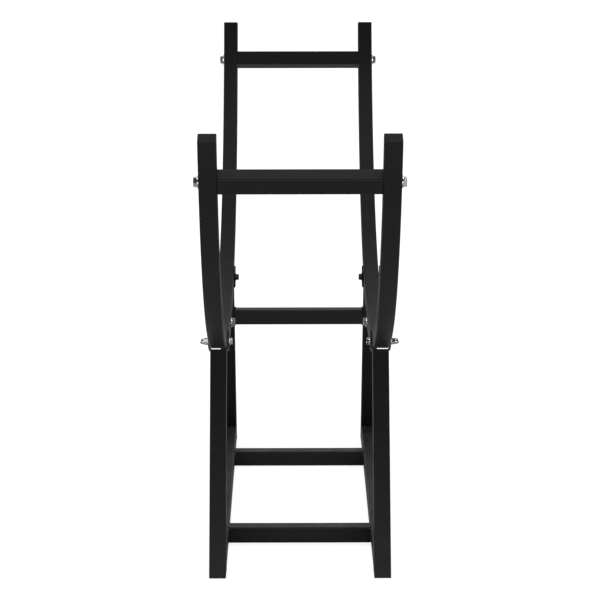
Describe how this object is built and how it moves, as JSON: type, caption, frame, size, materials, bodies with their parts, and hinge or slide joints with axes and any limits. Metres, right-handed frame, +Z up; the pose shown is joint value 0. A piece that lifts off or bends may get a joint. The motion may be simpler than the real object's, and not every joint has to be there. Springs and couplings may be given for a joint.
{
  "type": "crescent cradle rack",
  "caption": "Narrow free-standing cradle: curved square-tube arms bolted in forks on leaning legs over a welded floor frame, cross rails near the tips",
  "frame": {"origin": "on the floor, under the middle of the stand", "axes": "+X across the stand, +Y along it from the front tips to the rear tips, +Z up"},
  "size_m": [0.3136, 1.4134, 0.7337],
  "materials": {
    "frame_coat": "satin black powder coat, fine grain",
    "zinc": "bright zinc plate on hex bolts, washers and nuts",
    "inner_steel": "plain mill steel inside the tubes",
    "cap_plastic": "moulded black plastic tube cap",
    "black_steel": "black oxide hex bolts"
  },
  "bodies": {
    "root": {"arm_front_left": "frame_coat", "arm_front_right": "frame_coat", "arm_joiner_left": "inner_steel", "arm_joiner_right": "inner_steel", "arm_rear_left": "frame_coat", "arm_rear_right": "frame_coat", "floor_crossbar_front": "frame_coat", "floor_crossbar_rear": "frame_coat", "floor_rail_left": "frame_coat", "floor_rail_right": "frame_coat", "fork_bolts_front": "zinc", "fork_bolts_rear": "black_steel", "fork_cap_nuts": "zinc", "fork_front_left_inner": "frame_coat", "fork_front_left_outer": "frame_coat", "fork_front_right_inner": "frame_coat", "fork_front_right_outer": "frame_coat", "fork_rear_left_inner": "frame_coat", "fork_rear_left_outer": "frame_coat", "fork_rear_right_inner": "frame_coat", "fork_rear_right_outer": "frame_coat", "fork_washers": "zinc", "front_leg_left": "frame_coat", "front_leg_right": "frame_coat", "rail_bolts": "zinc", "rail_insert_front_left": "inner_steel", "rail_insert_front_right": "inner_steel", "rail_insert_rear_left": "inner_steel", "rail_insert_rear_right": "inner_steel", "rail_washers": "zinc", "rear_crossbar": "frame_coat", "rear_leg_left": "frame_coat", "rear_leg_right": "frame_coat", "splice_bolts": "zinc", "splice_nuts": "zinc", "splice_washers": "zinc", "tip_cap_front_left": "cap_plastic", "tip_cap_front_right": "cap_plastic", "tip_cap_rear_left": "cap_plastic", "tip_cap_rear_right": "cap_plastic", "top_rail_front": "frame_coat", "top_rail_rear": "frame_coat"}
  },
  "joints": []
}
